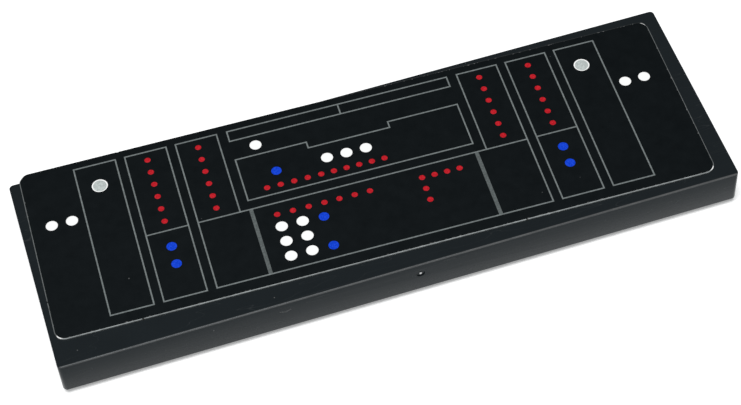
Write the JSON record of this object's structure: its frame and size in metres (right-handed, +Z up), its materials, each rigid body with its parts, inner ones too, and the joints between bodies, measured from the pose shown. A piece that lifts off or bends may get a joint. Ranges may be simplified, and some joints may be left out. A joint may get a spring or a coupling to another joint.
{
  "type": "toy brick tile with printed control panel label",
  "caption": "Flat rectangular plastic building tile, hollow underneath with clutch tubes, and a slightly crooked printed control-panel label stuck on its smooth top.",
  "frame": {"origin": "middle of the tile's length and width, on the surface that its bottom rim stands on", "axes": "+X along the tile's length, +Y across it towards the label's top bar, +Z up out of the labelled face"},
  "size_m": [0.0478, 0.0162, 0.0034],
  "materials": {
    "tile_plastic": "moulded black plastic, satin gloss, fine handling scratches",
    "adhesive": "thin clear-grey pressure-sensitive adhesive",
    "white_film": "white printable vinyl film, satin",
    "black_ink": "printed black, satin, faint print grain",
    "line_ink": "printed light grey line",
    "divider_ink": "printed mid grey line",
    "red_ink": "printed red",
    "blue_ink": "printed blue",
    "grey_ink": "printed pale grey"
  },
  "bodies": {
    "root": {"tile_top_plate": "tile_plastic", "tile_front_wall": "tile_plastic", "tile_back_wall": "tile_plastic", "tile_left_wall": "tile_plastic", "tile_right_wall": "tile_plastic", "tile_tube_far_left": "tile_plastic", "tile_tube_left": "tile_plastic", "tile_tube_middle": "tile_plastic", "tile_tube_right": "tile_plastic", "tile_tube_far_right": "tile_plastic", "label_adhesive": "adhesive", "label_film": "white_film", "label_black_ground": "black_ink", "line_left_outer_box": "line_ink", "line_left_second_box": "line_ink", "line_right_outer_box": "line_ink", "line_right_second_box": "line_ink", "line_centre_frame": "line_ink", "line_top_bar": "line_ink", "line_notched_box": "line_ink", "line_left_divider": "divider_ink", "line_right_divider": "divider_ink", "red_column_left_second": "red_ink", "red_column_left_third": "red_ink", "red_column_right_third": "red_ink", "red_column_right_second": "red_ink", "red_row_upper_panel": "red_ink", "red_row_lower_panel": "red_ink", "red_corner_lower_panel": "red_ink", "blue_dot_left_upper": "blue_ink", "blue_dot_left_lower": "blue_ink", "blue_dot_right_upper": "blue_ink", "blue_dot_right_lower": "blue_ink", "blue_dot_upper_panel": "blue_ink", "blue_dot_lower_panel_upper": "blue_ink", "blue_dot_lower_panel_lower": "blue_ink", "grey_dial_left": "grey_ink", "grey_dial_right": "grey_ink"}
  },
  "joints": []
}
